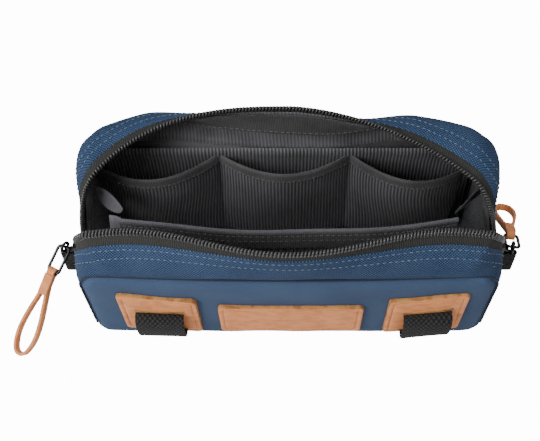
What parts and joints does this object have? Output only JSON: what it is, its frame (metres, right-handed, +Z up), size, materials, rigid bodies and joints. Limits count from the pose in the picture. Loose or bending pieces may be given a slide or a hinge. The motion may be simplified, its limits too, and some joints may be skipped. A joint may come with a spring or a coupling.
{
  "type": "zippered box pouch",
  "caption": "Small oblong fabric pouch on a flat gusset base, mouth held open, with inner pockets, leather patches, webbing loops and leather zip pulls.",
  "frame": {"origin": "middle of the base, on the surface the pouch stands on", "axes": "+X along the long mouth towards the right end, -Y towards the front wall with the leather patches, +Z up"},
  "size_m": [0.2829, 0.0987, 0.1035],
  "materials": {
    "blue_fabric": "woven slate-blue cloth, matt",
    "black_lining": "thin black ribbed lining",
    "grey_binding": "folded dark grey edge binding",
    "zip_tape": "dark woven zip tape",
    "zip_coil": "black nylon coil",
    "tan_leather": "vegetable-tanned leather with raw edges",
    "black_webbing": "ribbed black webbing",
    "black_metal": "black coated metal",
    "stiffener": "stiff sheet"
  },
  "bodies": {
    "base": {"base_gusset": "blue_fabric", "base_board": "stiffener", "zip_tab_left": "black_webbing", "zip_tab_right": "black_webbing"},
    "front_shell": {"front_panel": "blue_fabric", "front_band": "blue_fabric", "front_tape": "zip_tape", "front_coil": "zip_coil", "front_lining": "black_lining", "patch_left": "tan_leather", "patch_centre": "tan_leather", "patch_right": "tan_leather", "webbing_loop_left": "black_webbing", "webbing_loop_right": "black_webbing", "slip_pocket": "black_lining", "slip_binding": "grey_binding"},
    "rear_shell": {"rear_panel": "blue_fabric", "rear_band": "blue_fabric", "rear_tape": "zip_tape", "rear_coil": "zip_coil", "rear_lining": "black_lining", "organiser_pocket": "black_lining", "organiser_binding": "grey_binding"},
    "slider_left": {"slider_left": "black_metal"},
    "slider_right": {"slider_right": "black_metal"},
    "link_left": {"pull_link_left": "black_metal"},
    "link_right": {"pull_link_right": "black_metal"},
    "pull_left": {"leather_pull_left": "tan_leather"},
    "pull_right": {"leather_pull_right": "tan_leather"}
  },
  "joints": [
    {"name": "mouth_front", "type": "hinge", "parent": "base", "child": "front_shell", "pos_m": [0, -0.03, 0.002], "axis": [-1, 0, 0], "range_deg": [0, 10]},
    {"name": "mouth_rear", "type": "hinge", "parent": "base", "child": "rear_shell", "pos_m": [0, 0.03, 0.002], "axis": [1, 0, 0], "range_deg": [0, 10]},
    {"name": "left_slider_travel", "type": "slide", "parent": "base", "child": "slider_left", "axis": [0, 0, 1], "range_m": [0, 0.032]},
    {"name": "left_link_swing", "type": "hinge", "parent": "slider_left", "child": "link_left", "pos_m": [-0.1209, -0.009, 0.043], "axis": [0.866, -0.5, 0], "range_deg": [-70, 15]},
    {"name": "left_pull_swing", "type": "hinge", "parent": "link_left", "child": "pull_left", "pos_m": [-0.1274, -0.02025, 0.0355], "axis": [0.866, -0.5, 0], "range_deg": [-70, 25]},
    {"name": "right_slider_travel", "type": "slide", "parent": "base", "child": "slider_right", "axis": [0, 0, 1], "range_m": [0, 0.032]},
    {"name": "right_link_swing", "type": "hinge", "parent": "slider_right", "child": "link_right", "pos_m": [0.1209, -0.009, 0.043], "axis": [-0.9848, 0.1736, 0], "range_deg": [-70, 15]},
    {"name": "right_pull_swing", "type": "hinge", "parent": "link_right", "child": "pull_right", "pos_m": [0.12316, 0.00379, 0.0355], "axis": [-0.9848, 0.1736, 0], "range_deg": [-70, 25]}
  ],
  "couplings": [
    {"joint": "mouth_rear", "follows": "mouth_front", "ratio": 1},
    {"joint": "left_slider_travel", "follows": "mouth_front", "m_per_rad": 0.1833},
    {"joint": "right_slider_travel", "follows": "mouth_front", "m_per_rad": 0.1833}
  ]
}
